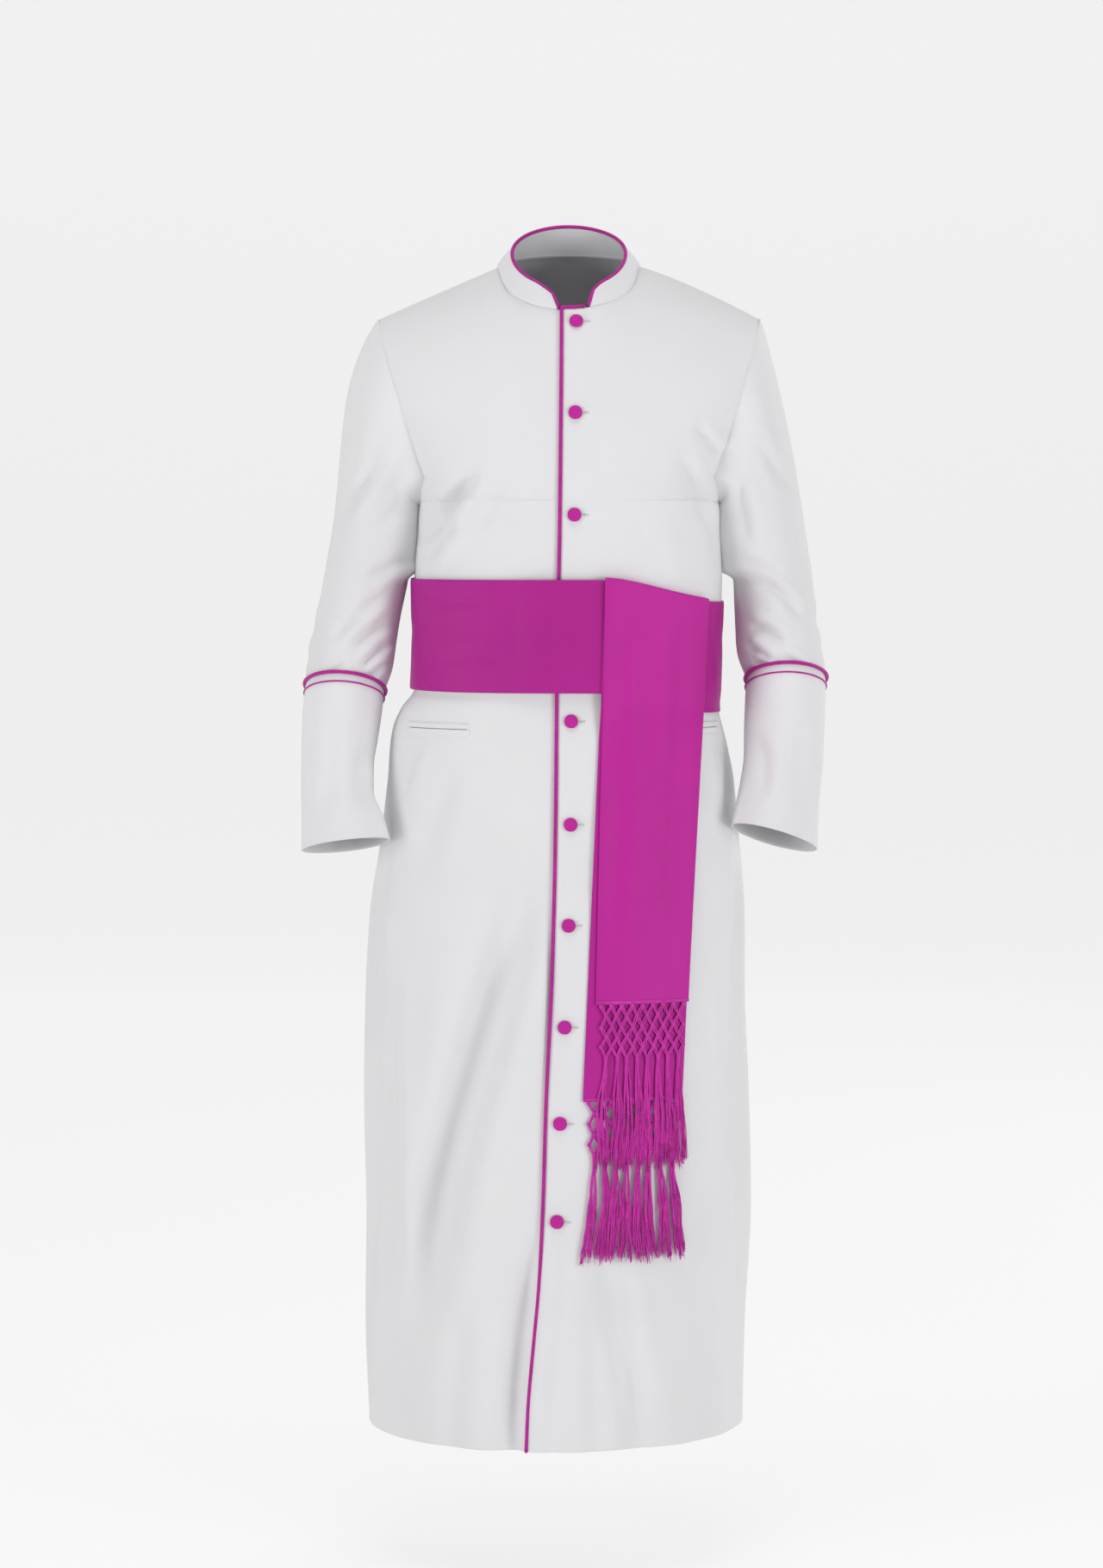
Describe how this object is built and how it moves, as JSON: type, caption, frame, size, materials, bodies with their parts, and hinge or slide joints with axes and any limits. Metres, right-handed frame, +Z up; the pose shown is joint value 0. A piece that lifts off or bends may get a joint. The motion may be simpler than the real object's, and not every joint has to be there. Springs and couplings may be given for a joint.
{
  "type": "clergy robe",
  "caption": "Long white clergy robe in its worn shape: stand collar with a front notch, covered buttons, deep piped cuffs and a wide waist band with hanging fringed falls.",
  "frame": {"origin": "centre of the neck hole, at the level where the robe hangs on the wearer's shoulders", "axes": "+Z up from the hem to the collar, +X towards the wearer's left side, -Y towards the front"},
  "size_m": [0.6077, 0.4008, 1.3859],
  "materials": {
    "robe_cloth": "matte woven suiting",
    "satin": "soft satin sheen",
    "thread": "soft lustrous thread"
  },
  "bodies": {
    "root": {"front_left": "robe_cloth", "front_right": "robe_cloth", "back": "robe_cloth", "sleeve_left": "robe_cloth", "sleeve_right": "robe_cloth", "cuff_left": "robe_cloth", "cuff_right": "robe_cloth", "collar": "robe_cloth", "pocket_left": "robe_cloth", "pocket_right": "robe_cloth", "piping_front": "satin", "piping_collar": "satin", "piping_cuff_upper_left": "satin", "piping_cuff_upper_right": "satin", "piping_cuff_lower_left": "satin", "piping_cuff_lower_right": "satin", "button_01": "satin", "button_02": "satin", "button_03": "satin", "button_04": "satin", "button_05": "satin", "button_06": "satin", "button_07": "satin", "button_08": "satin", "button_09": "satin", "band": "satin", "fall_upper": "satin", "fall_under": "satin", "fringe_upper": "thread", "fringe_under": "thread"}
  },
  "joints": []
}
